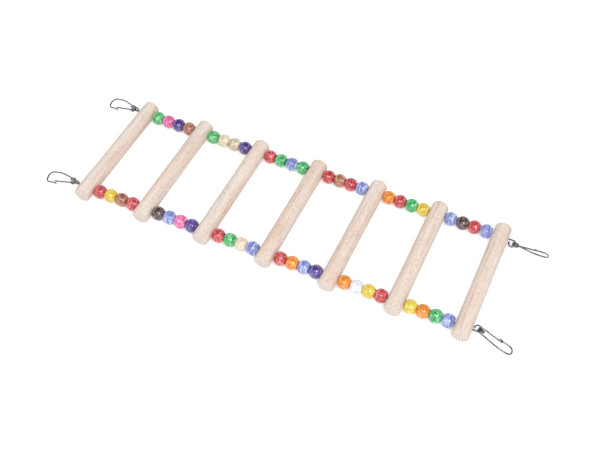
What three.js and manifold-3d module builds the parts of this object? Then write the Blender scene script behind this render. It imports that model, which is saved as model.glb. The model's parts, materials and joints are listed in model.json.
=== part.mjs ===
// Bird ladder: seven round wooden rungs on two steel wires, four painted wooden beads
// between rungs on each wire, and a bent-wire snap hook on the eye at each wire end.
// Millimetres. X runs along the ladder, Y along the rungs, Z is up.
// The origin is on the floor under the middle of the ladder, which rests on its rungs.

import * as THREE from "three";
import { mergeVertices } from "three/addons/utils/BufferGeometryUtils.js";
import Module from "manifold-3d";

const wasm = await Module();
wasm.setup();

// Rungs
const rungCount = 7;
const rungLength = 120;
const rungDiameter = 14;
const rungEase = 1.2;
const rungSides = 20;
const easeSteps = 2;

// Beads
const beadsPerRun = 4;
const beadDiameter = 12;
const beadLength = 10;
const beadBore = 2.6;
const beadSides = 12;
const beadArcSteps = 4;
const drillSides = 12;

// Core wires
const wireDiameter = 1.5;
const wireInset = 10;
const eyeInnerDiameter = 4.2;
const wireSides = 8;

// Snap hooks, each bent from one thinner spring wire
const hookWireDiameter = 1.3;
const coilInnerDiameter = 3.4;
const bulgePlace = 19;
const bulgeDepth = 6.5;
const neckRadius = 6;
const bowRadius = 28;
const backStraight = 1.8;
const heelRadius = 4.6;
const tipRadius = 6;
const browRadius = 3.6;
const noseHeight = 3.85;
const noseLength = 5;
const flareRadius = 4;
const flareLength = 2.7;
const gateLength = 18.6;
const hookWireSides = 7;
const coilTurn = 270;
const easeStep = 5;

// Headings of the hook's wire along its outline, in degrees
const heelHeading = 6;
const tipHeading = 80;
const browHeading = 100;
const noseHeading = 178;
const flareHeading = 165;

// Clearances
const beadSlack = 0.25;
const rungBoreClearance = 0.3;
const eyeEndGap = 0.5;
const eyeStandoff = 0.3;
const coilTurnGap = 0.3;
const gateRestGap = 0.3;
const leastWireGap = 0.4;
const floorClearance = 0.1;

// How the least gap of a wire to itself is measured: the step between its points, and the
// stretch of wire that counts as neighbouring, in wire diameters
const gapSampleStep = 0.2;
const neighbourDiameters = 3;

// The steepest slide of a hook round its eye, in degrees, and the halvings that find it
const steepestSlide = 60;
const slideHalvings = 30;

// Steps of a full turn of bent wire
const turnSteps = 18;

// Sizes that follow
const rungRadius = rungDiameter / 2;
const wireHeight = rungRadius;
const wireSide = rungLength / 2 - wireInset;
const runLength = beadsPerRun * beadLength + (beadsPerRun + 1) * beadSlack;
const rungPitch = rungDiameter + runLength;
const ladderHalf = ((rungCount - 1) * rungPitch) / 2;
const wireRadius = wireDiameter / 2;
const hookWireRadius = hookWireDiameter / 2;
const coilRadius = coilInnerDiameter / 2 + hookWireRadius;
const coilLayer = (hookWireDiameter + coilTurnGap) / 2;
const eyeRadius = eyeInnerDiameter / 2 + wireRadius;
const eyeCentre = rungRadius + eyeStandoff + wireRadius + eyeRadius;

// Each corner: its end and side, the roll of its eye about the wire, and how far the hook
// has swung sideways where it lies. Degrees.
const corners = [
  { name: "far_left", end: -1, side: 1, eyeRoll: 13, swing: -4 },
  { name: "near_left", end: -1, side: -1, eyeRoll: 13, swing: 3.5 },
  { name: "far_right", end: 1, side: 1, eyeRoll: 114, swing: 3 },
  { name: "near_right", end: 1, side: -1, eyeRoll: -17, swing: -0.6 },
];

// Bead colours along each wire, from the left end
const beadPaints = {
  far: [
    ["green", "pink", "purple", "brown"],
    ["green", "cream", "tan", "purple"],
    ["red", "green", "blue", "green"],
    ["red", "brown", "red", "blue"],
    ["orange", "red", "green", "yellow"],
    ["blue", "umber", "red", "blue"],
  ],
  near: [
    ["red", "yellow", "brown", "red"],
    ["umber", "blue", "pink", "purple"],
    ["red", "green", "cream", "blue"],
    ["red", "orange", "blue", "purple"],
    ["orange", "white", "yellow", "red"],
    ["yellow", "orange", "green", "blue"],
  ],
};

// Runs whose two middle beads are one solid, so that the ladder stays within sixty nodes
const pairedRuns = { far: [1, 3], near: [0, 2, 4] };

const paintColours = {
  green: 0x1f9a4b,
  pink: 0xe2569b,
  purple: 0x4a2a86,
  brown: 0x9a5a3a,
  umber: 0x4a2f2c,
  cream: 0xe9d3ae,
  tan: 0xd9b98c,
  red: 0xc8343c,
  blue: 0x6f86cf,
  orange: 0xf08a2c,
  yellow: 0xf2cf3a,
  white: 0xf4f2ec,
};

const radians = THREE.MathUtils.degToRad;

function material(colour, roughness, metalness) {
  return new THREE.MeshStandardMaterial({ color: colour, roughness, metalness });
}

// A geometry with only positions, its shared vertices merged
function weld(geometry) {
  const bare = geometry.clone();
  bare.deleteAttribute("normal");
  bare.deleteAttribute("uv");
  return mergeVertices(bare);
}

function toSolid(geometry) {
  const welded = weld(geometry);
  const vertProperties = new Float32Array(welded.attributes.position.array);
  const triVerts = new Uint32Array(welded.index.array);
  return new wasm.Manifold(new wasm.Mesh({ numProp: 3, vertProperties, triVerts }));
}

function toGeometry(solid) {
  const mesh = solid.getMesh();
  const geometry = new THREE.BufferGeometry();
  geometry.setAttribute("position", new THREE.BufferAttribute(new Float32Array(mesh.vertProperties), 3));
  geometry.setIndex(new THREE.BufferAttribute(new Uint32Array(mesh.triVerts), 1));
  return geometry;
}

// Wire bending. A wire lies in a flat plan of its own and is a list of stations, each a
// place, a heading and the length of wire up to it. A bend turns left when its angle is
// positive, and right when it is negative.
class WireBender {
  constructor(x, y, headingDegrees) {
    this.x = x;
    this.y = y;
    this.heading = radians(headingDegrees);
    this.length = 0;
    this.stations = [];
    this.mark();
  }

  mark() {
    this.stations.push({ x: this.x, y: this.y, heading: this.heading, length: this.length });
  }

  straight(distance) {
    this.x += distance * Math.cos(this.heading);
    this.y += distance * Math.sin(this.heading);
    this.length += distance;
    this.mark();
    return this;
  }

  bend(radius, degrees) {
    const steps = Math.max(1, Math.round((Math.abs(degrees) / 360) * turnSteps));
    const turn = radians(degrees) / steps;
    const side = Math.sign(degrees);
    const centreX = this.x - side * radius * Math.sin(this.heading);
    const centreY = this.y + side * radius * Math.cos(this.heading);
    for (let step = 0; step < steps; step += 1) {
      this.heading += turn;
      this.x = centreX + side * radius * Math.sin(this.heading);
      this.y = centreY - side * radius * Math.cos(this.heading);
      this.length += radius * Math.abs(turn);
      this.mark();
    }
    return this;
  }
}

// A curve whose even steps fall on the given places, so that a long straight takes one step
class WirePath extends THREE.Curve {
  constructor(places, tangents) {
    super();
    this.places = places;
    this.tangents = tangents;
  }

  getPointAt(share, target = new THREE.Vector3()) {
    return target.copy(this.places[Math.round(share * (this.places.length - 1))]);
  }

  getTangentAt(share, target = new THREE.Vector3()) {
    return target.copy(this.tangents[Math.round(share * (this.places.length - 1))]);
  }
}

function wireGeometry(path, radius, sides) {
  const section = new THREE.Shape();
  for (let side = 0; side < sides; side += 1) {
    const angle = (2 * Math.PI * side) / sides;
    const x = radius * Math.cos(angle);
    const y = radius * Math.sin(angle);
    if (side === 0) {
      section.moveTo(x, y);
    } else {
      section.lineTo(x, y);
    }
  }
  section.closePath();
  return weld(new THREE.ExtrudeGeometry(section, { steps: path.places.length - 1, extrudePath: path }));
}

// The least gap between stretches of a wire that are not neighbours along it
function leastSelfGap(path, diameter) {
  const places = [];
  for (let index = 1; index < path.places.length; index += 1) {
    const from = path.places[index - 1];
    const to = path.places[index];
    const parts = Math.max(1, Math.ceil(from.distanceTo(to) / gapSampleStep));
    for (let part = 0; part < parts; part += 1) {
      places.push(from.clone().lerp(to, part / parts));
    }
  }
  places.push(path.places[path.places.length - 1].clone());
  let along = 0;
  const lengths = places.map((place, index) => {
    along += index === 0 ? 0 : place.distanceTo(places[index - 1]);
    return along;
  });
  const neighbour = neighbourDiameters * diameter;
  let least = Infinity;
  for (let one = 0; one < places.length; one += 1) {
    for (let other = one + 1; other < places.length; other += 1) {
      if (lengths[other] - lengths[one] > neighbour) {
        least = Math.min(least, places[one].distanceTo(places[other]) - diameter);
      }
    }
  }
  return least;
}

function reportGap(name, path, diameter) {
  const gap = leastSelfGap(path, diameter);
  const verdict = gap > leastWireGap ? "clear" : "too close";
  console.log(`${name}: least gap of the wire to itself ${gap.toFixed(2)} mm, ${verdict}`);
}

const ladder = new THREE.Group();
ladder.name = "bird_ladder";

function addPiece(name, geometry, look, parent = ladder) {
  const mesh = new THREE.Mesh(geometry, look);
  mesh.name = name;
  parent.add(mesh);
  return mesh;
}

// Rungs: a turned dowel with eased ends, cross-drilled for both wires
function rungGeometry() {
  const half = rungLength / 2;
  const profile = [new THREE.Vector2(0, -half)];
  for (let step = 0; step <= easeSteps; step += 1) {
    const angle = (Math.PI / 2) * (step / easeSteps);
    const radius = rungRadius - rungEase + rungEase * Math.sin(angle);
    profile.push(new THREE.Vector2(radius, -half + rungEase - rungEase * Math.cos(angle)));
  }
  const lower = profile.slice(1).reverse();
  for (const point of lower) {
    profile.push(new THREE.Vector2(point.x, -point.y));
  }
  profile.push(new THREE.Vector2(0, half));
  const turned = new THREE.LatheGeometry(profile, rungSides);
  let rung = toSolid(turned);
  const boreRadius = wireRadius + rungBoreClearance;
  for (const side of [-1, 1]) {
    const drill = new THREE.CylinderGeometry(boreRadius, boreRadius, 2 * rungDiameter, drillSides);
    drill.rotateZ(Math.PI / 2);
    drill.translate(0, side * wireSide, 0);
    rung = rung.subtract(toSolid(drill));
  }
  return toGeometry(rung);
}

const rungShape = rungGeometry();
const woodLook = material(0xead8c4, 0.75, 0);
for (let rung = 0; rung < rungCount; rung += 1) {
  const mesh = addPiece(`rung_${rung + 1}`, rungShape, woodLook.clone());
  mesh.position.set(rung * rungPitch - ladderHalf, 0, wireHeight);
}

// Beads: a ball cut flat where its neighbours sit, bored for the wire. The profile runs
// round the section of one bead, or of two whose flats are joined.
function beadProfile(count) {
  const radius = beadDiameter / 2;
  const flatAngle = Math.asin(beadLength / beadDiameter);
  const total = count * beadLength + (count - 1) * beadSlack;
  const profile = [new THREE.Vector2(beadBore / 2, -total / 2)];
  for (let bead = 0; bead < count; bead += 1) {
    const middle = -total / 2 + beadLength / 2 + bead * (beadLength + beadSlack);
    for (let step = 0; step <= beadArcSteps; step += 1) {
      const angle = flatAngle * ((2 * step) / beadArcSteps - 1);
      profile.push(new THREE.Vector2(radius * Math.cos(angle), middle + radius * Math.sin(angle)));
    }
  }
  profile.push(new THREE.Vector2(beadBore / 2, total / 2));
  profile.push(profile[0].clone());
  return profile;
}

const singleShape = weld(new THREE.LatheGeometry(beadProfile(1), beadSides));
const pairShape = weld(new THREE.LatheGeometry(beadProfile(2), beadSides));

function beadStart(run, place) {
  const runStart = run * rungPitch - ladderHalf + rungRadius;
  return runStart + beadSlack + place * (beadLength + beadSlack);
}

function addBead(name, shape, paint, start, length, sideSign) {
  const bead = addPiece(name, shape, material(paintColours[paint], 0.25, 0));
  bead.rotation.z = -Math.PI / 2;
  bead.position.set(start + length / 2, sideSign * wireSide, wireHeight);
}

for (const [sideName, sideSign] of [["far", 1], ["near", -1]]) {
  beadPaints[sideName].forEach((paints, run) => {
    const paired = pairedRuns[sideName].includes(run);
    for (let place = 0; place < beadsPerRun; place += 1) {
      const start = beadStart(run, place);
      const label = `${sideName}_${run + 1}_${place + 1}`;
      if (paired && place === 1) {
        const length = 2 * beadLength + beadSlack;
        addBead(`beads_${label}_${place + 2}`, pairShape, paints[place], start, length, sideSign);
        place += 1;
      } else {
        addBead(`bead_${label}`, singleShape, paints[place], start, beadLength, sideSign);
      }
    }
  });
}

// Eye: the wire leaves the rung on its axis and curls to one side in a ring, as far as just
// short of its own shank. Its plan has x outward along the ladder, from the middle of the
// end rung, and y towards the side that the ring stands on.
function eyeStations() {
  const fallShort = Math.asin((eyeRadius - wireDiameter - eyeEndGap) / eyeRadius);
  const ringTurn = 270 + THREE.MathUtils.radToDeg(fallShort);
  return new WireBender(eyeCentre, 0, 0).bend(eyeRadius, ringTurn).stations;
}

// Places one plan station in space: the plan's x goes along outward, its y along upward
function placeStation(station, origin, outward, upward) {
  const place = origin.clone();
  place.addScaledVector(outward, station.x);
  place.addScaledVector(upward, station.y);
  const tangent = outward.clone().multiplyScalar(Math.cos(station.heading));
  tangent.addScaledVector(upward, Math.sin(station.heading));
  return { place, tangent };
}

function cornerAxes(corner) {
  const roll = radians(corner.eyeRoll);
  const outward = new THREE.Vector3(corner.end, 0, 0);
  const tangent = new THREE.Vector3(0, -Math.sin(roll), Math.cos(roll));
  const origin = new THREE.Vector3(corner.end * ladderHalf, corner.side * wireSide, wireHeight);
  return { outward, tangent, origin };
}

function wirePath(left, right) {
  const places = [];
  const tangents = [];
  const leftAxes = cornerAxes(left);
  const rightAxes = cornerAxes(right);
  for (const station of eyeStations().reverse()) {
    const { place, tangent } = placeStation(station, leftAxes.origin, leftAxes.outward, leftAxes.tangent);
    places.push(place);
    tangents.push(tangent.negate());
  }
  for (const station of eyeStations()) {
    const { place, tangent } = placeStation(station, rightAxes.origin, rightAxes.outward, rightAxes.tangent);
    places.push(place);
    tangents.push(tangent);
  }
  return new WirePath(places, tangents);
}

const steelLook = material(0xb9bcc0, 0.3, 1);
for (const side of [1, -1]) {
  const [left, right] = corners.filter((corner) => corner.side === side);
  const path = wirePath(left, right);
  const name = side > 0 ? "core_wire_far" : "core_wire_near";
  reportGap(name, path, wireDiameter);
  addPiece(name, wireGeometry(path, wireRadius, wireSides), steelLook.clone());
}

// Snap hook frame, in the hook's own plan: x runs from the coil to the tip, the back is on
// -y and the nose on +y. The wire makes three quarters of a turn of coil, a straight neck,
// the bowed back, the heel, the tip and the brow, and the nose comes back over the gate's
// end and flares away from it.
function frameStations() {
  const radii = neckRadius + bowRadius;
  const drop = bulgeDepth - coilRadius;
  const neckLength = Math.sqrt(bulgePlace ** 2 + (radii - drop) ** 2 - radii ** 2);
  const neckTurn = THREE.MathUtils.radToDeg(
    Math.atan2(bulgePlace, radii - drop) - Math.atan2(neckLength, radii),
  );
  const wire = new WireBender(coilRadius, 0, 90);
  wire.bend(coilRadius, coilTurn).bend(neckRadius, -neckTurn).straight(neckLength);
  wire.bend(bowRadius, neckTurn).straight(backStraight).bend(bowRadius, heelHeading);
  wire.bend(heelRadius, tipHeading - heelHeading).bend(tipRadius, browHeading - tipHeading);
  const browRise = browRadius * (Math.cos(radians(browHeading)) - Math.cos(radians(noseHeading)));
  wire.straight((noseHeight - browRise - wire.y) / Math.sin(wire.heading));
  wire.bend(browRadius, noseHeading - browHeading).straight(noseLength);
  wire.bend(flareRadius, flareHeading - noseHeading).straight(flareLength);
  return wire.stations;
}

// How high the nose's wire lies above the hook's centre line at a place along the hook
function noseHeightAt(stations, x) {
  let index = stations.length - 2;
  while (stations[index].x < x) {
    index -= 1;
  }
  const inner = stations[index];
  const outer = stations[index + 1];
  return inner.y + ((outer.y - inner.y) * (x - inner.x)) / (outer.x - inner.x);
}

// Gate: the other three quarters of a turn of coil, and a straight arm that leaves the coil
// on a tangent and ends just under the nose.
function gateStations(frame) {
  const endHeight = noseHeightAt(frame, gateLength) - hookWireDiameter - gateRestGap;
  const reach = Math.hypot(gateLength, endHeight);
  const heading = Math.atan2(endHeight, gateLength) - Math.asin(coilRadius / reach);
  const wire = new WireBender(coilRadius, 0, -90);
  wire.bend(coilRadius, THREE.MathUtils.radToDeg(heading) - coilTurn);
  wire.straight(Math.sqrt(reach ** 2 - coilRadius ** 2));
  return wire.stations;
}

// Lifts a plan into space: its coil lies in one layer, and the rest eases back to the middle
function layeredPath(stations, layer, easeEnd) {
  const coilLength = coilRadius * radians(coilTurn);
  const easeLength = easeEnd - coilLength;
  const places = [];
  const tangents = [];
  for (const station of stations) {
    const share = THREE.MathUtils.clamp((station.length - coilLength) / easeLength, 0, 1);
    const height = layer * (1 - share * share * (3 - 2 * share));
    const slope = (-layer * 6 * share * (1 - share)) / easeLength;
    places.push(new THREE.Vector3(station.x, station.y, height));
    tangents.push(new THREE.Vector3(Math.cos(station.heading), Math.sin(station.heading), slope).normalize());
  }
  return new WirePath(places, tangents);
}

// Splits a long straight so that the ease between layers has steps to follow
function splitStraights(stations, longest) {
  const split = [stations[0]];
  for (let index = 1; index < stations.length; index += 1) {
    const from = stations[index - 1];
    const to = stations[index];
    const isStraight = from.heading === to.heading;
    const parts = isStraight ? Math.max(1, Math.round((to.length - from.length) / longest)) : 1;
    for (let part = 1; part <= parts; part += 1) {
      const share = part / parts;
      split.push({
        x: from.x + (to.x - from.x) * share,
        y: from.y + (to.y - from.y) * share,
        heading: to.heading,
        length: from.length + (to.length - from.length) * share,
      });
    }
  }
  return split;
}

const frameOutline = splitStraights(frameStations(), easeStep);
const gateOutline = splitStraights(gateStations(frameOutline), easeStep);
const bulgeLength = frameOutline.find((station) => station.x >= bulgePlace).length;
const gateEndLength = gateOutline[gateOutline.length - 1].length;
const framePath = layeredPath(frameOutline, -coilLayer, bulgeLength);
const gatePath = layeredPath(gateOutline, coilLayer, gateEndLength);
reportGap("snap hook frame", framePath, hookWireDiameter);
reportGap("snap hook gate", gatePath, hookWireDiameter);
const frameShape = wireGeometry(framePath, hookWireRadius, hookWireSides);
const gateShape = wireGeometry(gatePath, hookWireRadius, hookWireSides);

// Where a hook's coil sits when it has slid down round its eye: the hook points away from
// the eye's centre, and turns about the eye's wire at that place.
function hookPose(corner, slide) {
  const { outward, tangent, origin } = cornerAxes(corner);
  const slid = radians(slide);
  const radial = outward.clone().multiplyScalar(Math.cos(slid));
  radial.addScaledVector(tangent, -Math.sin(slid));
  const axis = outward.clone().multiplyScalar(Math.sin(slid));
  axis.addScaledVector(tangent, Math.cos(slid));
  const place = origin.clone().addScaledVector(outward, eyeCentre).addScaledVector(tangent, eyeRadius);
  place.addScaledVector(radial, eyeRadius);
  const sideways = axis.clone().cross(radial);
  const swing = radians(corner.swing);
  const along = radial.clone().multiplyScalar(Math.cos(swing)).addScaledVector(sideways, Math.sin(swing));
  const across = axis.clone().cross(along);
  return new THREE.Matrix4().makeBasis(along, across, axis).setPosition(place);
}

function lowestPoint(matrix) {
  const heights = framePath.places.map((place) => place.clone().applyMatrix4(matrix).z);
  return Math.min(...heights) - hookWireRadius;
}

// The slide at which the hook comes to lie on the floor, found by halving. On an eye that
// stands the hook slides down from it, and on one that hangs it slides the other way.
function restingSlide(corner) {
  let high = 0;
  let low = Math.sign(cornerAxes(corner).tangent.z) * steepestSlide;
  for (let halving = 0; halving < slideHalvings; halving += 1) {
    const middle = (high + low) / 2;
    if (lowestPoint(hookPose(corner, middle)) > floorClearance) {
      high = middle;
    } else {
      low = middle;
    }
  }
  return high;
}

const springLook = material(0xb4b8bd, 0.25, 1);
for (const corner of corners) {
  const hook = new THREE.Group();
  hook.applyMatrix4(hookPose(corner, restingSlide(corner)));
  ladder.add(hook);
  addPiece(`hook_frame_${corner.name}`, frameShape, springLook.clone(), hook);
  addPiece(`hook_gate_${corner.name}`, gateShape, springLook.clone(), hook);
}

export default ladder;
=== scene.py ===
# %% [markdown]
# # A bird ladder
# This ladder for a cage has seven round wooden rungs. A steel wire runs through each end of
# all the rungs, with four painted wooden beads between one rung and the next. The wire ends
# in an eye at each corner, and a snap hook bent from spring wire is threaded on the eye.
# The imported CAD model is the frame: it says where each piece is and how it moves. This
# lesson makes a finer piece for each of its nodes and gives it a real finish.

# %% Load the frame
import json
import math

import bmesh
import bpy
from mathutils import Matrix, Vector


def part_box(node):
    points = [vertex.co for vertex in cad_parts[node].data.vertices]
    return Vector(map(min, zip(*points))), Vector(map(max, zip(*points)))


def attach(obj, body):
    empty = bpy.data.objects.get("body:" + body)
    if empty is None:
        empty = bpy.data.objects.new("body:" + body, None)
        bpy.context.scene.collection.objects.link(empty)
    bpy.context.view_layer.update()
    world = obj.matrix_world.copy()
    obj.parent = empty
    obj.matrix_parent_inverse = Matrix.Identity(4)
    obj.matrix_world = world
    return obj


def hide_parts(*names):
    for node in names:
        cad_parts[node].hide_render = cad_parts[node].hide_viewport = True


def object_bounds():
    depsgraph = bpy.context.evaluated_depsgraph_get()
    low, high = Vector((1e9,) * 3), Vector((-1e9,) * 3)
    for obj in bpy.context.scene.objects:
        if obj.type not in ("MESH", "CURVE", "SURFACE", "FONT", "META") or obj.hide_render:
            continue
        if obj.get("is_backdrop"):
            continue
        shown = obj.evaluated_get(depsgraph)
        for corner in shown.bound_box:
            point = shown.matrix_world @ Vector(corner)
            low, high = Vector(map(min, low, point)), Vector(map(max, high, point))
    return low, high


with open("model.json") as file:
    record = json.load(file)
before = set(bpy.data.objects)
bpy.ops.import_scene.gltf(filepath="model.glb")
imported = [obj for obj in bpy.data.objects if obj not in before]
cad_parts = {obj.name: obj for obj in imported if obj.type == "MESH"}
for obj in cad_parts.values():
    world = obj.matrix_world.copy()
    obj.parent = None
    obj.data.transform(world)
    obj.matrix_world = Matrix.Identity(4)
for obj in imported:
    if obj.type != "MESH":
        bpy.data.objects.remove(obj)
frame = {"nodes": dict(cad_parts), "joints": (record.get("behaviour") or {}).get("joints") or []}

MILLIMETRE = 0.001
cad_low, cad_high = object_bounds()
cad_sides = (cad_high - cad_low) / MILLIMETRE
print("CAD box in millimetres:", [round(side, 1) for side in cad_sides])

# %% [markdown]
# ## Camera
# The photograph looks down on the ladder from its near right corner. A pinhole camera was
# fitted to the ends of the seven rungs, which gave the place, the direction and the lens.
# The camera is set by its own three axes, because a fitted camera also has a slight roll.
# Its place is in metres, as everything is in Blender.

# %% Camera
CAMERA_PLACE = Vector((0.20741, -0.51603, 0.63195))
CAMERA_RIGHT = Vector((0.91454, 0.40246, 0.04056))
CAMERA_FORWARD = Vector((-0.23468, 0.60960, -0.75718))
FOCAL_PIXELS = 1005.35
PICTURE_WIDTH_PIXELS = 602
SENSOR_WIDTH = 36
NEAR_CLIP, FAR_CLIP = 0.01, 50

camera_lens = bpy.data.cameras.new("photo_lens")
camera_lens.sensor_width = SENSOR_WIDTH
camera_lens.lens = FOCAL_PIXELS / PICTURE_WIDTH_PIXELS * SENSOR_WIDTH
camera_lens.clip_start = NEAR_CLIP
camera_lens.clip_end = FAR_CLIP
camera = bpy.data.objects.new("photo_camera", camera_lens)
bpy.context.scene.collection.objects.link(camera)
camera_back = -CAMERA_FORWARD.normalized()
camera_up = camera_back.cross(CAMERA_RIGHT).normalized()
camera_side = camera_up.cross(camera_back)
camera_turn = Matrix((camera_side, camera_up, camera_back)).transposed()
camera.matrix_world = Matrix.Translation(CAMERA_PLACE) @ camera_turn.to_4x4()
bpy.context.scene.camera = camera
print("Lens in millimetres:", round(camera_lens.lens, 2))

# %% [markdown]
# ## Sizes
# All the sizes are in millimetres here, and a piece is brought to metres when it is
# finished. The round pieces take their places from the boxes of the CAD nodes. The wires
# are bent again from the same bends as in the CAD, only in smaller steps.

# %% Sizes
QUARTER_TURN = math.radians(90)
MERGE_DISTANCE = 0.005
RUNG_COUNT = 7
RUNG_EASE = 1.2
BEAD_LENGTH = 10
BEAD_SLACK = 0.25
BEAD_BORE = 2.6
WIRE_RADIUS = 0.75
HOOK_WIRE_RADIUS = 0.65
EYE_RADIUS = 2.85
EYE_CENTRE = 10.9
EYE_END_GAP = 0.5
COIL_RADIUS = 2.35
COIL_LAYER = 0.8


def node_box(node):
    """Middle and size of a CAD node, in millimetres."""
    low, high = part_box(node)
    return (low + high) / 2 / MILLIMETRE, (high - low) / MILLIMETRE


rung_places = [node_box(f"rung_{number}")[0] for number in range(1, RUNG_COUNT + 1)]
rung_size = node_box("rung_1")[1]
RUNG_LENGTH = round(rung_size.y, 2)
RUNG_RADIUS = round(rung_size.z / 2, 2)
print("Rungs:", RUNG_LENGTH, "long,", 2 * RUNG_RADIUS, "in diameter")

# %% [markdown]
# ## Finishing a piece
# Each piece is shaped as a bmesh in millimetres, where it belongs on the ladder. One
# function turns a shape into an object that sits at the origin, with its place in its mesh.
# Another brings a piece to metres, smooths it except at its real edges, and ties it to the
# CAD body that it moves with.

# %% Finishing a piece
EDGE_ANGLE = math.radians(38)


def add_object(name, shape):
    """Makes an object of a bmesh, which is used up, and links it to the scene."""
    mesh = bpy.data.meshes.new(name)
    shape.to_mesh(mesh)
    shape.free()
    made = bpy.data.objects.new(name, mesh)
    bpy.context.scene.collection.objects.link(made)
    return made


def finish_piece(name, shape, finish, body, nodes):
    """Makes a piece of a shape in millimetres and lets it ride on its body."""
    bmesh.ops.recalc_face_normals(shape, faces=shape.faces)
    bmesh.ops.scale(shape, vec=Vector((1, 1, 1)) * MILLIMETRE, verts=shape.verts)
    piece = add_object(name, shape)
    piece.data.shade_smooth()
    piece.data.set_sharp_from_angle(angle=EDGE_ANGLE)
    piece.data.materials.append(finish)
    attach(piece, body)
    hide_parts(*nodes)
    return piece


print("Pieces are smoothed below", round(math.degrees(EDGE_ANGLE)), "degrees")

# %% [markdown]
# ## Material helpers
# Colours are written as sRGB hex values, as a paint chart gives them, and Blender works in
# linear light, so one function turns them. Another adds a node, sets its sockets and links
# it, so that each material reads from top to bottom like a recipe. Some sockets of a node
# share a name, so they are given by number: the share of a Mix node is socket 0, its two
# colours are 6 and 7, and its two plain numbers 2 and 3. A noise texture makes one blotch in
# each unit of its scaled space, so its scale follows from a width in millimetres.

# %% Material helpers
MULTIPLY = {"data_type": "RGBA", "blend_type": "MULTIPLY"}


def linear(hex_colour):
    """A hex colour such as #c8343c as linear red, green, blue and alpha."""
    parts = [int(hex_colour[start:start + 2], 16) / 255 for start in (1, 3, 5)]
    # The sRGB standard has a straight piece near black and a power curve above it
    turned = [
        part / 12.92 if part <= 0.04045 else ((part + 0.055) / 1.055) ** 2.4
        for part in parts
    ]
    return (*turned, 1)


def add_node(tree, kind, settings=None, **sockets):
    """Adds a node. A socket is written with _ for each space, or as _ and its number."""
    node = tree.nodes.new(kind)
    for name, value in (settings or {}).items():
        setattr(node, name, value)
    for name, value in sockets.items():
        key = int(name[1:]) if name[0] == "_" else name.replace("_", " ")
        if isinstance(value, bpy.types.NodeSocket):
            tree.links.new(value, node.inputs[key])
        else:
            node.inputs[key].default_value = value
    return node


def new_material(name):
    """An empty node material and its tree."""
    material = bpy.data.materials.new(name)
    material.use_nodes = True
    material.node_tree.nodes.clear()
    return material, material.node_tree


def noise_scale(width):
    """The scale at which a noise has blotches of this width in millimetres."""
    return 1 / (width * MILLIMETRE)


def add_ramp(tree, factor, *stops):
    """A colour ramp from pairs of a place and a colour."""
    ramp = add_node(tree, "ShaderNodeValToRGB", Fac=factor)
    points = ramp.color_ramp.elements
    while len(points) < len(stops):
        points.new(0.5)  # each stop gets its own place below
    for point, (place, colour) in zip(points, stops):
        point.position = place
        point.color = linear(colour)
    return ramp.outputs["Color"]


print("Middle grey in linear light:", round(linear("#808080")[0], 3))

# %% [markdown]
# ## Beech dowel
# The rungs are bare beech, milled round and only sanded. Beech is pale and pinkish, with
# soft streaks along the grain and small darker flecks, which are its rays. Each pattern is
# noise with a width across the grain in millimetres, squeezed along the rung so that it
# comes out longer. A streak is 1.6 / 0.04 = 40 mm long, a blush 87 mm and a fleck 3 mm.
# Streaks and flecks are a little coarser than real, so that they show in the picture.

# %% Beech dowel
GRAINS = {
    "streak": (1.6, 0.04, {"Detail": 3, "Roughness": 0.55}),
    "blush": (10.5, 0.12, {"Detail": 2}),
    "fleck": (0.7, 0.22, {"Detail": 1}),
}
BLUSH_SHARE, FLECK_SHARE = 0.8, 0.5

wood, tree = new_material("beech_dowel_sanded")
spot = add_node(tree, "ShaderNodeTexCoord").outputs["Object"]
grains = {}
for kind, (width, squeeze, noise) in GRAINS.items():
    space = add_node(tree, "ShaderNodeMapping", Vector=spot, Scale=(1, squeeze, 1)).outputs[0]
    grains[kind] = add_node(
        tree, "ShaderNodeTexNoise", Vector=space, Scale=noise_scale(width), **noise,
    ).outputs["Fac"]
tone = add_ramp(
    tree, grains["streak"], (0.28, "#dcc8ba"), (0.5, "#ebded4"), (0.74, "#f3eae3"),
)
blush = add_ramp(tree, grains["blush"], (0.35, "#f9ece3"), (0.7, "#ffffff"))
flecks = add_ramp(tree, grains["fleck"], (0.3, "#cebcae"), (0.46, "#ffffff"))
blushed = add_node(
    tree, "ShaderNodeMix", MULTIPLY, _0=BLUSH_SHARE, _6=tone, _7=blush,
).outputs[2]
flecked = add_node(
    tree, "ShaderNodeMix", MULTIPLY, _0=FLECK_SHARE, _6=blushed, _7=flecks,
).outputs[2]
print("Patterns along the grain:", ", ".join(GRAINS))

# %% [markdown]
# ## Sawn ends
# The eased rim of a rung is painted a little darker than its side, a painted shade line round
# each end, and the sawn ends show pores and growth rings. The pores of beech are too fine to
# see from here, so they are drawn about a millimetre wide. A wave texture draws the rings as
# circles round a heart that lies 3 cm below the ladder's middle, because such dowels are
# milled from boards and not from whole branches. For the rim and for the face two distances
# from the end of the rung are given, in millimetres: where the change of tone starts, and
# where it is full.

# %% Sawn ends
END_ZONES = {"rim": (RUNG_EASE, 0.4), "face": (0.1, 0.04)}
PORE_WIDTH = 0.9
YEAR_RING_WIDTH = 2.3
HEART_DEPTH = 30
YEAR_SHARE = 0.65
FIBRE_RELIEF = 0.1
WAVES_PER_UNIT = 10 / math.pi  # rings that a wave texture draws in a unit of its space

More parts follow.
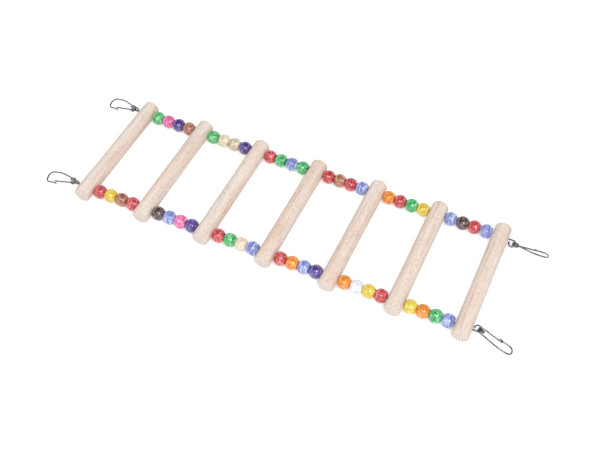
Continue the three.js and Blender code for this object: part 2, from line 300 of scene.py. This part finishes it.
along = add_node(tree, "ShaderNodeSeparateXYZ", Vector=spot).outputs["Y"]
from_middle = add_node(tree, "ShaderNodeMath", {"operation": "ABSOLUTE"}, _0=along).outputs[0]
zones = {
    zone: add_node(
        tree, "ShaderNodeMapRange", Value=from_middle,
        From_Min=(RUNG_LENGTH / 2 - begin) * MILLIMETRE,
        From_Max=(RUNG_LENGTH / 2 - full) * MILLIMETRE,
    ).outputs[0]
    for zone, (begin, full) in END_ZONES.items()
}
# The eased rim is multiplied darker here: a painted shade line round each end
rim_shaded = add_node(
    tree, "ShaderNodeMix", MULTIPLY, _0=zones["rim"], _6=flecked, _7=linear("#f3ede8"),
).outputs[2]
pores = add_node(
    tree, "ShaderNodeTexNoise", Vector=spot, Scale=noise_scale(PORE_WIDTH), Detail=4,
    Roughness=0.7,
)
pore_tone = add_ramp(
    tree, pores.outputs["Fac"], (0.36, "#d5c8bf"), (0.5, "#e9ded7"), (0.62, "#f3ebe5"),
)
heart_space = add_node(
    tree, "ShaderNodeMapping", Vector=spot, Location=(0, 0, HEART_DEPTH * MILLIMETRE),
).outputs[0]
year_rings = add_node(
    tree, "ShaderNodeTexWave",
    {"wave_type": "RINGS", "rings_direction": "Y", "wave_profile": "SAW"},
    Vector=heart_space, Scale=noise_scale(YEAR_RING_WIDTH) / WAVES_PER_UNIT, Distortion=1.6,
    Detail=0, Detail_Scale=0.5,
)
year_tone = add_ramp(
    tree, year_rings.outputs["Fac"], (0, "#ffffff"), (0.6, "#f5efea"), (1, "#d9cbc0"),
)
end_grain = add_node(
    tree, "ShaderNodeMix", MULTIPLY, _0=YEAR_SHARE, _6=pore_tone, _7=year_tone,
).outputs[2]
sawn = add_node(
    tree, "ShaderNodeMix", {"data_type": "RGBA"}, _0=zones["face"], _6=rim_shaded, _7=end_grain,
).outputs[2]
fibres = add_node(
    tree, "ShaderNodeBump", Strength=0.35, Distance=FIBRE_RELIEF * MILLIMETRE,
    Height=grains["streak"],
).outputs[0]
wood_shader = add_node(
    tree, "ShaderNodeBsdfPrincipled", Base_Color=sawn, Roughness=0.72, Normal=fibres, IOR=1.45,
)
add_node(tree, "ShaderNodeOutputMaterial", Surface=wood_shader.outputs[0])
print("Material:", wood.name)

# %% [markdown]
# ## Bead paints
# The beads are small turned balls of wood that were tumbled in gloss paint. The lathe leaves
# fine rings round the bore, and the open pores of the wood lift the paint in blotches. Both
# show through as light and dark tones and break up the highlight. The light tone is also
# painted sheen: its pale blotches stand in for a broad, broken highlight. A ring is a line of
# equal distance along the wire, so the noise for it is as narrow as a ring along X and
# stretched across. Rings and blotches are drawn one and two millimetres wide, which is coarser
# than real, so that they show in the picture. The blue is a pearl paint in which the rings
# show most, and its light stripes are painted sheen too. The paint is a coat of clear gloss
# on a duller colour, which keeps the highlights small and sharp.

# %% Bead paints
LATHE_RING_WIDTH = 1.05
RING_SQUEEZE = 0.12
BLOTCH_WIDTH = 2.1
TONE_STOPS = 0.385, 0.5, 0.615
PAINT_RELIEF = 0.3


def bead_paint(name, shade, colour, light, mottle_share=0.6):
    """Gloss paint on turned wood: a darker shade, the colour, and a light tone partly painted
    sheen.
    """
    material, tree = new_material(name)
    spot = add_node(tree, "ShaderNodeTexCoord").outputs["Object"]
    ring_space = add_node(
        tree, "ShaderNodeMapping", Vector=spot, Scale=(1, RING_SQUEEZE, RING_SQUEEZE),
    ).outputs[0]
    rings = add_node(
        tree, "ShaderNodeTexNoise", Vector=ring_space, Scale=noise_scale(LATHE_RING_WIDTH),
        Detail=2,
    )
    mottle = add_node(
        tree, "ShaderNodeTexNoise", Vector=spot, Scale=noise_scale(BLOTCH_WIDTH), Detail=3,
    )
    mixed = add_node(
        tree, "ShaderNodeMix", {"data_type": "FLOAT"}, _0=mottle_share,
        _2=rings.outputs["Fac"], _3=mottle.outputs["Fac"],
    ).outputs[0]
    # The light stop is pale partly as painted sheen: blotches that stand in for a broken highlight
    tone = add_ramp(tree, mixed, *zip(TONE_STOPS, (shade, colour, light)))
    lift = add_node(
        tree, "ShaderNodeBump", Strength=0.7, Distance=PAINT_RELIEF * MILLIMETRE, Height=mixed,
    ).outputs[0]
    shader = add_node(
        tree, "ShaderNodeBsdfPrincipled", Base_Color=tone, Roughness=0.45, Normal=lift,
        IOR=1.45, Coat_Weight=1, Coat_Roughness=0.06, Coat_IOR=1.6,
    )
    add_node(tree, "ShaderNodeOutputMaterial", Surface=shader.outputs[0])
    return material


# The third colour is the light tone, partly painted sheen, and each middle colour is a little
# paler than the bare paint, which paints in part of the sheen as well
paints = {
    "green": bead_paint("gloss_paint_green", "#0f8a3c", "#36b25e", "#93dda8"),
    "pink": bead_paint("gloss_paint_pink", "#cf4a88", "#ea68a4", "#f9b4d3"),
    "purple": bead_paint("gloss_paint_purple", "#33206c", "#4e3788", "#8370b8"),
    "brown": bead_paint("gloss_paint_brown", "#7e4630", "#a8694e", "#d4a48a"),
    "umber": bead_paint("gloss_paint_dark_brown", "#2c1b17", "#493530", "#8b7570"),
    "red": bead_paint("gloss_paint_red", "#a01f29", "#c5353e", "#ec8589"),
    "orange": bead_paint("gloss_paint_orange", "#cc6a12", "#e98717", "#f7b052"),
    "yellow": bead_paint("gloss_paint_yellow", "#c6a422", "#e2c432", "#f4e37e"),
    "white": bead_paint("gloss_paint_white", "#cfd2dc", "#e6e6ec", "#f8f8fb"),
    # On the blue the rings weigh most, so its light tone lies in stripes: painted sheen streaks
    "blue": bead_paint("pearl_paint_blue_painted_sheen", "#5a68b4", "#8592d0", "#c8d4f6", mottle_share=0.25),
    "cream": bead_paint("lacquered_wood_pale", "#cbb594", "#e3d2ba", "#f2e9db"),
    "tan": bead_paint("lacquered_wood_tan", "#a99472", "#cfbc98", "#ece3cd", mottle_share=0.3),
}
print("Paints:", len(paints))

# %% [markdown]
# ## Steel wire
# Both wires are drawn steel with a bright nickel plating. The plating is smooth but not a
# mirror, with slightly duller patches a few millimetres long where it was bent and handled.
# Their colours are far darker than bright nickel: painted dark reflections, which make the
# wires come out grey.

# %% Steel wire
DULL_PATCH_WIDTH = 3.3
CLOUD_LOW, CLOUD_HIGH = 0.3, 0.7


def plated_wire(name, colour, roughness_low, roughness_high):
    """Bright plated wire whose gloss changes a little from place to place."""
    material, tree = new_material(name)
    spot = add_node(tree, "ShaderNodeTexCoord").outputs["Object"]
    cloud = add_node(
        tree, "ShaderNodeTexNoise", Vector=spot, Scale=noise_scale(DULL_PATCH_WIDTH), Detail=3,
    )
    dullness = add_node(
        tree, "ShaderNodeMapRange", Value=cloud.outputs["Fac"], From_Min=CLOUD_LOW,
        From_Max=CLOUD_HIGH, To_Min=roughness_low, To_Max=roughness_high,
    ).outputs[0]
    shader = add_node(
        tree, "ShaderNodeBsdfPrincipled", Base_Color=linear(colour), Metallic=1,
        Roughness=dullness,
    )
    add_node(tree, "ShaderNodeOutputMaterial", Surface=shader.outputs[0])
    return material


# Both grey colours are painted dark reflections; bright nickel itself is much paler
core_steel = plated_wire(
    "nickel_plated_core_wire", "#85878a", roughness_low=0.2, roughness_high=0.32,
)
spring_steel = plated_wire(
    "nickel_plated_spring_wire", "#75777b", roughness_low=0.18, roughness_high=0.3,
)
print("Wires:", core_steel.name, spring_steel.name)

# %% [markdown]
# ## Rungs
# A rung is a round dowel with eased ends and two cross holes for the wires. It starts as a
# cylinder from the cone operator. The rims are bevelled, which gives the eased edge, and the
# long faces are cut into short ones, so that the holes don't leave long thin triangles.
# A Boolean drills the holes as a drill press does: one straight cylinder for each. The drill
# is turned by half a side, so that none of its edges lies on an edge of the dowel, and
# points that still fall together are merged, which keeps the mesh closed round the holes.

# %% Rungs
RUNG_SIDES = 64
RUNG_CUTS = 47
EASE_STEPS = 4
DRILL_RADIUS = WIRE_RADIUS + 0.3
DRILL_LENGTH = 4 * RUNG_RADIUS
DRILL_SIDES = 24
WIRE_SIDE = 50


def dowel_shape():
    """A dowel along Y, centred on the origin, without its holes."""
    shape = bmesh.new()
    bmesh.ops.create_cone(
        shape, cap_ends=True, segments=RUNG_SIDES, radius1=RUNG_RADIUS, radius2=RUNG_RADIUS,
        depth=RUNG_LENGTH,
    )
    long_edges = [edge for edge in shape.edges if edge.calc_length() > RUNG_LENGTH / 2]
    rims = [edge for edge in shape.edges if edge not in long_edges]
    bmesh.ops.bevel(
        shape, geom=rims, offset=RUNG_EASE, offset_type="OFFSET", segments=EASE_STEPS,
        profile=0.5, affect="EDGES", material=-1,
    )
    long_edges = [edge for edge in shape.edges if edge.calc_length() > RUNG_LENGTH / 2]
    bmesh.ops.subdivide_edges(shape, edges=long_edges, cuts=RUNG_CUTS, use_grid_fill=True)
    turn = Matrix.Rotation(QUARTER_TURN, 3, "X")
    bmesh.ops.rotate(shape, cent=(0, 0, 0), matrix=turn, verts=shape.verts)
    return shape


def drill_shape():
    """Two cylinders along X where the wires cross the dowel."""
    shape = bmesh.new()
    for side in (-1, 1):
        drill = bmesh.ops.create_cone(
            shape, cap_ends=True, segments=DRILL_SIDES, radius1=DRILL_RADIUS,
            radius2=DRILL_RADIUS, depth=DRILL_LENGTH,
        )["verts"]
        half_side = Matrix.Rotation(math.pi / DRILL_SIDES, 3, "Z")
        turn = Matrix.Rotation(QUARTER_TURN, 3, "Y") @ half_side
        bmesh.ops.rotate(shape, cent=(0, 0, 0), matrix=turn, verts=drill)
        bmesh.ops.translate(shape, vec=(0, side * WIRE_SIDE, 0), verts=drill)
    return shape


# A Boolean reads objects, so the blank and the drill are objects until the holes are cut
blank = add_object("dowel_blank", dowel_shape())
drill = add_object("cross_drill", drill_shape())
cut = blank.modifiers.new("cross_holes", "BOOLEAN")
cut.operation = "DIFFERENCE"
cut.solver = "EXACT"
cut.object = drill
result = blank.evaluated_get(bpy.context.evaluated_depsgraph_get())
drilled = bpy.data.meshes.new_from_object(result)
bpy.data.objects.remove(blank)
bpy.data.objects.remove(drill)
merged = bmesh.new()
merged.from_mesh(drilled)
bmesh.ops.remove_doubles(merged, verts=merged.verts, dist=MERGE_DISTANCE)
bmesh.ops.dissolve_degenerate(merged, edges=merged.edges, dist=MERGE_DISTANCE)
merged.to_mesh(drilled)
merged.free()

for number, place in enumerate(rung_places, 1):
    shape = bmesh.new()
    shape.from_mesh(drilled)
    bmesh.ops.translate(shape, vec=place, verts=shape.verts)
    finish_piece(f"dowel_{number}", shape, wood, "ladder", [f"rung_{number}"])
print("Rungs:", len(rung_places), "with", len(drilled.polygons), "faces each")

# %% [markdown]
# ## Beads
# A bead is a ball with two flat ends and a bore. Its outline is drawn once in the plane of
# the wire: one corner of the flat end is spun round the ball's middle, which leaves the arc,
# and then the flats and the bore wall close it. A full spin about the wire turns the outline
# into the bead, as the lathe does, and a bevel takes the sharpness off its four edges.
# Five runs have their two middle beads in one CAD node, and those two turn together.

# %% Beads
BEAD_RADIUS = round(node_box("bead_far_1_1")[1].z / 2, 2)
BEAD_SIDES = 40
BEAD_ARC_STEPS = 14
BEAD_EDGE = 0.22
BEAD_EDGE_STEPS = 3
CREASE_ANGLE = math.radians(30)
BEAD_COLOURS = {
    "far": [
        ["green", "pink", "purple", "brown"],
        ["green", "cream", "tan", "purple"],
        ["red", "green", "blue", "green"],
        ["red", "brown", "red", "blue"],
        ["orange", "red", "green", "yellow"],
        ["blue", "umber", "red", "blue"],
    ],
    "near": [
        ["red", "yellow", "brown", "red"],
        ["umber", "blue", "pink", "purple"],
        ["red", "green", "cream", "blue"],
        ["red", "orange", "blue", "purple"],
        ["orange", "white", "yellow", "red"],
        ["yellow", "orange", "green", "blue"],
    ],
}


def bead_shape():
    """A bead on the X axis, centred on the origin."""
    shape = bmesh.new()
    half = BEAD_LENGTH / 2
    flat_angle = math.asin(half / BEAD_RADIUS)
    start = shape.verts.new((-half, BEAD_RADIUS * math.cos(flat_angle), 0))
    arc = bmesh.ops.spin(
        shape, geom=[start], cent=(0, 0, 0), axis=(0, 0, -1), angle=2 * flat_angle,
        steps=BEAD_ARC_STEPS,
    )
    end = arc["geom_last"][0]
    bore_in = shape.verts.new((-half, BEAD_BORE / 2, 0))
    bore_out = shape.verts.new((half, BEAD_BORE / 2, 0))
    for pair in ((start, bore_in), (bore_in, bore_out), (bore_out, end)):
        shape.edges.new(pair)
    bmesh.ops.spin(
        shape, geom=shape.verts[:] + shape.edges[:], cent=(0, 0, 0), axis=(1, 0, 0),
        angle=2 * math.pi, steps=BEAD_SIDES, use_merge=True,
    )
    bmesh.ops.remove_doubles(shape, verts=shape.verts, dist=MERGE_DISTANCE)
    bmesh.ops.recalc_face_normals(shape, faces=shape.faces)
    sharp = [edge for edge in shape.edges if edge.calc_face_angle() > CREASE_ANGLE]
    bmesh.ops.bevel(
        shape, geom=sharp, offset=BEAD_EDGE, offset_type="OFFSET", segments=BEAD_EDGE_STEPS,
        profile=0.5, affect="EDGES", material=-1,
    )
    return shape


turned_bead = bpy.data.meshes.new("turned_bead")
bead_model = bead_shape()
bead_model.to_mesh(turned_bead)
bead_model.free()


def bead_node(side, run, place):
    """The CAD node of a bead, which is its body's name too, and the bead's middle."""
    single = f"bead_{side}_{run}_{place}"
    if single in frame["nodes"]:
        return single, node_box(single)[0]
    pair = f"beads_{side}_{run}_2_3"
    middle = node_box(pair)[0]
    step = (BEAD_LENGTH + BEAD_SLACK) / 2
    return pair, middle + Vector((step if place == 3 else -step, 0, 0))


bead_count = 0
for side, runs in BEAD_COLOURS.items():
    for run, colours in enumerate(runs, 1):
        for place, colour in enumerate(colours, 1):
            node, middle = bead_node(side, run, place)
            shape = bmesh.new()
            shape.from_mesh(turned_bead)
            bmesh.ops.translate(shape, vec=middle, verts=shape.verts)
            # A bead that is paired in the CAD rides on the pair's node
            finish_piece(
                f"turned_bead_{side}_{run}_{place}", shape, paints[colour], node, [node],
            )
            bead_count += 1
print("Beads:", bead_count, "with", len(turned_bead.polygons), "faces each")

# %% [markdown]
# ## Bending wire
# A wire bender pushes wire straight out, or round a pin. The same is done with a ring of
# edges: the ring is extruded, and the new ring is moved ahead for a straight, or turned
# about the pin's middle for a bend. Each ring remembers how much wire was fed up to it, so
# the wire can be lifted sideways later, where two turns of a coil lie beside each other.

# %% Bending wire
WIRE_SIDES = 16
BEND_STEP = 9
CUT_BEVEL = 0.18
CUT_STEPS = 2
THREE_QUARTERS = 270  # of a full turn, in degrees


class BentWire:
    """A round wire in the XY plane, in millimetres, that grows as it is fed."""

    def __init__(self, radius, start, heading, capped=True):
        self.place = Vector((*start, 0))
        self.heading = math.radians(heading)
        self.length = 0
        self.shape = bmesh.new()
        self.fed = self.shape.verts.layers.float.new("fed")
        bmesh.ops.create_circle(self.shape, cap_ends=capped, segments=WIRE_SIDES, radius=radius)
        turn = Matrix.Rotation(self.heading, 4, "Z") @ Matrix.Rotation(QUARTER_TURN, 4, "Y")
        placed = Matrix.Translation(self.place) @ turn
        bmesh.ops.transform(self.shape, matrix=placed, verts=self.shape.verts)
        self.first = self.shape.edges[:]
        self.ring = self.shape.edges[:]

    def grow(self, move, length):
        """Extrudes the last ring and moves the new one."""
        grown = bmesh.ops.extrude_edge_only(self.shape, edges=self.ring)["geom"]
        points = [item for item in grown if isinstance(item, bmesh.types.BMVert)]
        bmesh.ops.transform(self.shape, matrix=move, verts=points)
        fresh = set(points)
        edges = [item for item in grown if isinstance(item, bmesh.types.BMEdge)]
        self.ring = [edge for edge in edges if fresh.issuperset(edge.verts)]
        self.length += length
        for point in points:
            point[self.fed] = self.length
        self.place = move @ self.place

    def straight(self, distance, steps=1):
        """Feeds the wire straight out."""
        ahead = Vector((math.cos(self.heading), math.sin(self.heading), 0))
        for _ in range(steps):
            self.grow(Matrix.Translation(ahead * distance / steps), distance / steps)
        return self

    def bend(self, radius, degrees):
        """Turns left round a pin for positive degrees, and right for negative."""
        steps = max(1, math.ceil(abs(degrees) / BEND_STEP))
        turn = math.radians(degrees) / steps
        side = math.copysign(1, degrees)
        aside = Vector((-math.sin(self.heading), math.cos(self.heading), 0))
        pin = self.place + aside * radius * side
        move = Matrix.Translation(pin) @ Matrix.Rotation(turn, 4, "Z") @ Matrix.Translation(-pin)
        for _ in range(steps):
            self.grow(move, radius * abs(turn))
            self.heading += turn
        return self

    def cut_off(self, both=True):
        """Closes the end and takes the sharpness off the cut."""
        bmesh.ops.contextual_create(self.shape, geom=self.ring)
        rims = self.ring + (self.first if both else [])
        bmesh.ops.bevel(
            self.shape, geom=rims, offset=CUT_BEVEL, offset_type="OFFSET", segments=CUT_STEPS,
            profile=0.5, affect="EDGES", material=-1,
        )
        return self.shape


print("Wire has", WIRE_SIDES, "sides and a step every", BEND_STEP, "degrees")

# %% [markdown]
# ## Corners
# Each corner has an eye and a hook that hangs from it and lies on the floor. Three eyes stand
# up from the wire, rolled by a few degrees, and their hooks lie flat. The one at the far right
# is rolled over to the near side and hangs, so its hook lies almost on edge. The hinge in the
# frame says where the hook's coil is and which way its axis points, so only the roll of the
# eye and the small sideways swing have to be given here.

# %% Corners
CORNERS = {
    "far_left": {"end": -1, "side": 1, "roll": 13, "swing": -4},
    "near_left": {"end": -1, "side": -1, "roll": 13, "swing": 3.5},
    "far_right": {"end": 1, "side": 1, "roll": 114, "swing": 3},
    "near_right": {"end": 1, "side": -1, "roll": -17, "swing": -0.6},
}
LADDER_HALF = rung_places[-1].x


def corner_axes(corner):
    """Where the wire crosses the end rung, the way out and the ring's upward direction."""
    roll = math.radians(corner["roll"])
    origin = Vector((corner["end"] * LADDER_HALF, corner["side"] * WIRE_SIDE, RUNG_RADIUS))
    outward = Vector((corner["end"], 0, 0))
    upward = Vector((0, -math.sin(roll), math.cos(roll)))
    return origin, outward, upward


def plan_matrix(origin, x_axis, y_axis):
    """Carries a flat plan to its place: its x and y go along these axes."""
    turn = Matrix((x_axis, y_axis, x_axis.cross(y_axis))).transposed()
    return Matrix.Translation(origin) @ turn.to_4x4()


print("Corners:", ", ".join(CORNERS))

# %% [markdown]
# ## Core wires
# Each core wire is one piece from eye to eye. It is bent here as two halves that start in
# the middle rung and run outward, because the plan of an eye is the same at every corner.
# Where the halves meet, the two open rings are bridged into one tube. The eye is a ring that
# stands on one side of the wire's line, as round pliers curl it, and it stops just short of
# its own shank.

# %% Core wires
fall_short = math.asin((EYE_RADIUS - 2 * WIRE_RADIUS - EYE_END_GAP) / EYE_RADIUS)
EYE_TURN = THREE_QUARTERS + math.degrees(fall_short)
JOIN_GAP = 1
SHANK_STEPS = 8


def half_wire(corner):
    """One half of a core wire, from the middle of the ladder to its eye, in its place."""
    origin, outward, upward = corner_axes(corner)
    wire = BentWire(WIRE_RADIUS, (JOIN_GAP - LADDER_HALF, 0), 0, capped=False)
    wire.straight(LADDER_HALF - JOIN_GAP + EYE_CENTRE, steps=SHANK_STEPS)
    wire.bend(EYE_RADIUS, EYE_TURN)
    shape = wire.cut_off(both=False)
    bmesh.ops.transform(shape, matrix=plan_matrix(origin, outward, upward), verts=shape.verts)
    return shape


for side in ("far", "near"):
    whole = bmesh.new()
    for end in ("left", "right"):
        half = half_wire(CORNERS[f"{side}_{end}"])
        carrier = bpy.data.meshes.new("half_wire")
        half.to_mesh(carrier)
        half.free()
        whole.from_mesh(carrier)
        bpy.data.meshes.remove(carrier)
    open_edges = [edge for edge in whole.edges if edge.is_boundary]
    bmesh.ops.bridge_loops(whole, edges=open_edges)
    finish_piece(
        f"eyed_wire_{side}", whole, core_steel, "ladder",
        [f"core_wire_{side}"],
    )
print("Core wires with a ring of", 2 * EYE_RADIUS, "mm at each end")

# %% [markdown]
# ## Snap hooks
# A snap hook is one spring wire. From its coil the frame runs down a short neck, bows out
# along the back, turns round the tip and comes back as a nose. The gate is the other end of
# the wire: it leaves the coil straight and springs up against the nose from inside. The
# frame and the gate are two pieces here, because the gate opens.
# The coil's two turns lie side by side. So the coil of each piece is lifted by half a turn's
# thickness, and the lift eases away along the wire.

# %% Snap hooks
BULGE_PLACE = 19
BULGE_DEPTH = 6.5
NECK_RADIUS = 6
BOW_RADIUS = 28
BACK_STRAIGHT = 1.8
HEEL_RADIUS = 4.6
TIP_RADIUS = 6
BROW_RADIUS = 3.6
NOSE_HEIGHT = 3.85
NOSE_LENGTH = 5
FLARE_RADIUS = 4
FLARE_LENGTH = 2.7
GATE_LENGTH = 18.6
GATE_REST_GAP = 0.3
HEEL_HEADING, TIP_HEADING, BROW_HEADING, NOSE_HEADING, FLARE_HEADING = 6, 80, 100, 178, 165
COIL_TURN = THREE_QUARTERS
NECK_STEPS, GATE_STEPS = 5, 10


def lift_coil(wire, layer, ease_end):
    """Moves the coil to its layer and eases the rest of the wire back to the middle."""
    coil_length = COIL_RADIUS * math.radians(COIL_TURN)
    for point in wire.shape.verts:
        share = (point[wire.fed] - coil_length) / (ease_end - coil_length)
        share = min(max(share, 0), 1)
        # 3 s^2 - 2 s^3 starts and ends level, so the wire gets no kink
        point.co.z += layer * (1 - share * share * (3 - 2 * share))


def bend_frame():
    """The hook's frame in its own plan: the coil at the origin and the tip on +X."""
    radii = NECK_RADIUS + BOW_RADIUS
    drop = BULGE_DEPTH - COIL_RADIUS
    neck = math.sqrt(BULGE_PLACE ** 2 + (radii - drop) ** 2 - radii ** 2)
    neck_turn = math.degrees(math.atan2(BULGE_PLACE, radii - drop) - math.atan2(neck, radii))
    wire = BentWire(HOOK_WIRE_RADIUS, (COIL_RADIUS, 0), 90)
    wire.bend(COIL_RADIUS, COIL_TURN).bend(NECK_RADIUS, -neck_turn)
    wire.straight(neck, steps=NECK_STEPS)
    wire.bend(BOW_RADIUS, neck_turn)
    bulge_length = wire.length
    wire.straight(BACK_STRAIGHT).bend(BOW_RADIUS, HEEL_HEADING)
    wire.bend(HEEL_RADIUS, TIP_HEADING - HEEL_HEADING).bend(TIP_RADIUS, BROW_HEADING - TIP_HEADING)
    fall = math.cos(math.radians(BROW_HEADING)) - math.cos(math.radians(NOSE_HEADING))
    rise = NOSE_HEIGHT - BROW_RADIUS * fall - wire.place.y
    wire.straight(rise / math.sin(wire.heading))
    wire.bend(BROW_RADIUS, NOSE_HEADING - BROW_HEADING)
    wire.straight(NOSE_LENGTH)
    nose_end = wire.place.copy()
    wire.bend(FLARE_RADIUS, FLARE_HEADING - NOSE_HEADING).straight(FLARE_LENGTH)
    nose_height = nose_end.y - (nose_end.x - GATE_LENGTH) * math.tan(math.radians(NOSE_HEADING))
    lift_coil(wire, -COIL_LAYER, bulge_length)
    return wire.cut_off(), nose_height


def bend_gate(nose_height):
    """The hook's gate: the other turn of the coil and the arm that meets the nose."""
    end_height = nose_height - 2 * HOOK_WIRE_RADIUS - GATE_REST_GAP
    reach = math.hypot(GATE_LENGTH, end_height)
    heading = math.degrees(math.atan2(end_height, GATE_LENGTH) - math.asin(COIL_RADIUS / reach))
    wire = BentWire(HOOK_WIRE_RADIUS, (COIL_RADIUS, 0), -90)
    wire.bend(COIL_RADIUS, heading - COIL_TURN)
    wire.straight(math.sqrt(reach ** 2 - COIL_RADIUS ** 2), steps=GATE_STEPS)
    lift_coil(wire, COIL_LAYER, wire.length)
    return wire.cut_off()


hinges = {joint["name"]: joint for joint in frame["joints"]}
for name, corner in CORNERS.items():
    hinge = hinges[f"hook_swing_{name}"]
    coil_place = Vector(hinge["pos_m"]) / MILLIMETRE
    axis = Vector(hinge["axis"])
    origin, outward, upward = corner_axes(corner)
    ring_middle = origin + outward * EYE_CENTRE + upward * EYE_RADIUS
    radial = (coil_place - ring_middle).normalized()
    along_hook = Matrix.Rotation(math.radians(corner["swing"]), 3, axis) @ radial
    hook_place = plan_matrix(coil_place, along_hook, axis.cross(along_hook))
    frame_shape, nose_height = bend_frame()
    gate_shape = bend_gate(nose_height)
    for kind, shape, body in (("frame", frame_shape, "hook"), ("gate", gate_shape, "gate")):
        bmesh.ops.transform(shape, matrix=hook_place, verts=shape.verts)
        finish_piece(
            f"snap_{kind}_{name}", shape, spring_steel, f"{body}_{name}",
            [f"hook_{kind}_{name}"],
        )
print("Snap hooks:", len(CORNERS))

# %% [markdown]
# ## Studio
# The photograph has a white ground and soft light from near the camera. The floor is plain
# white and takes the ladder's shadow. The camera, and mirror-like surfaces, also see a
# little glow in it, so that it comes out as white without more light on the ladder.

# %% Floor and air
FLOOR_HALF = 4
PAPER_TOOTH_WIDTH = 1.5
PAPER_RELIEF = 0.2
PAPER_GREY = (0.8, 0.8, 0.8, 1)
WHITE = (1, 1, 1, 1)
FLOOR_GLOW = 0.5
AIR_LIGHT = 0.6


def seen_directly(tree):
    """1 for camera, glossy and transmission rays, and 0 for the rest."""
    rays = add_node(tree, "ShaderNodeLightPath").outputs
    both = add_node(
        tree, "ShaderNodeMath", {"operation": "ADD", "use_clamp": True},
        _0=rays["Is Camera Ray"], _1=rays["Is Glossy Ray"],
    ).outputs[0]
    return add_node(
        tree, "ShaderNodeMath", {"operation": "ADD", "use_clamp": True},
        _0=both, _1=rays["Is Transmission Ray"],
    ).outputs[0]


def studio_sheet(name, half_size, height, finish):
    """A flat square sheet of the studio, in metres."""
    shape = bmesh.new()
    bmesh.ops.create_grid(shape, x_segments=1, y_segments=1, size=half_size)
    bmesh.ops.translate(shape, vec=(0, 0, height), verts=shape.verts)
    sheet = add_object(name, shape)
    sheet.data.materials.append(finish)
    return sheet


floor_paper, tree = new_material("white_studio_paper")
spot = add_node(tree, "ShaderNodeTexCoord").outputs["Object"]
tooth = add_node(
    tree, "ShaderNodeTexNoise", Vector=spot, Scale=noise_scale(PAPER_TOOTH_WIDTH), Detail=2,
)
grain = add_node(
    tree, "ShaderNodeBump", Strength=0.05, Distance=PAPER_RELIEF * MILLIMETRE,
    Height=tooth.outputs["Fac"],
)
glow = add_node(
    tree, "ShaderNodeMath", {"operation": "MULTIPLY"}, _0=seen_directly(tree), _1=FLOOR_GLOW,
).outputs[0]
paper_shader = add_node(
    tree, "ShaderNodeBsdfPrincipled", Base_Color=PAPER_GREY, Roughness=0.9,
    Normal=grain.outputs[0], Emission_Color=WHITE, Emission_Strength=glow,
)
add_node(tree, "ShaderNodeOutputMaterial", Surface=paper_shader.outputs[0])
floor = studio_sheet("studio_floor", FLOOR_HALF, 0, floor_paper)
floor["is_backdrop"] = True

air = bpy.data.worlds.new("studio_air")
air.use_nodes = True
air.node_tree.nodes.clear()
tree = air.node_tree
strength = add_node(
    tree, "ShaderNodeMapRange", Value=seen_directly(tree), To_Min=AIR_LIGHT, To_Max=1,
).outputs[0]
sky = add_node(tree, "ShaderNodeBackground", Color=WHITE, Strength=strength)
add_node(tree, "ShaderNodeOutputWorld", Surface=sky.outputs[0])
bpy.context.scene.world = air
bpy.context.scene.view_settings.view_transform = "Standard"
print("Floor glow", FLOOR_GLOW, "and air light", AIR_LIGHT)

# %% [markdown]
# ## Lamps
# Two soft lamps stand above the camera, one to each side. Their small bright squares show as
# the highlights in the middle of each bead.

# %% Lamps
LAMPS = {
    "key_lamp": {"place": (0.62, -0.75, 1.2), "size": 0.45, "power": 10},
    "fill_lamp": {"place": (-0.2, -0.85, 1.2), "size": 0.35, "power": 4.5},
}
for name, lamp in LAMPS.items():
    light = bpy.data.lights.new(name, "AREA")
    light.shape = "SQUARE"
    light.size = lamp["size"]
    light.energy = lamp["power"]
    lamp_object = bpy.data.objects.new(name, light)
    bpy.context.scene.collection.objects.link(lamp_object)
    lamp_place = Vector(lamp["place"])
    aim = (-lamp_place).to_track_quat("-Z", "Y").to_matrix().to_4x4()
    lamp_object.matrix_world = Matrix.Translation(lamp_place) @ aim
print("Lamps:", ", ".join(LAMPS))

# %% [markdown]
# ## Black flag
# Steel and gloss paint only look like steel and paint when they have something dark to
# mirror. A photographer hangs black cloth above the table for that. The flag here is seen
# in mirror reflections alone: it takes no light from the ladder and casts no shadow.

# %% Black flag
FLAG_HALF = 3
FLAG_HEIGHT = 2.4
black_cloth, tree = new_material("black_flag_cloth")
cloth_shader = add_node(
    tree, "ShaderNodeBsdfPrincipled", Base_Color=linear("#141414"), Roughness=0.95,
)
add_node(tree, "ShaderNodeOutputMaterial", Surface=cloth_shader.outputs[0])
flag = studio_sheet("black_flag", FLAG_HALF, FLAG_HEIGHT, black_cloth)
flag.visible_camera = False
flag.visible_diffuse = False
flag.visible_shadow = False
flag.visible_transmission = False
flag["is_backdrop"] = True
print("Flag at", FLAG_HEIGHT, "metres")

# %% [markdown]
# ## Boxes
# Both boxes are printed: the CAD model's near the top, and the visual model's here. The
# visual model has to stay within the CAD model's box.

# %% Boxes
look_low, look_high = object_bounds()
look_sides = (look_high - look_low) / MILLIMETRE
print("Visual box in millimetres:", [round(side, 1) for side in look_sides])
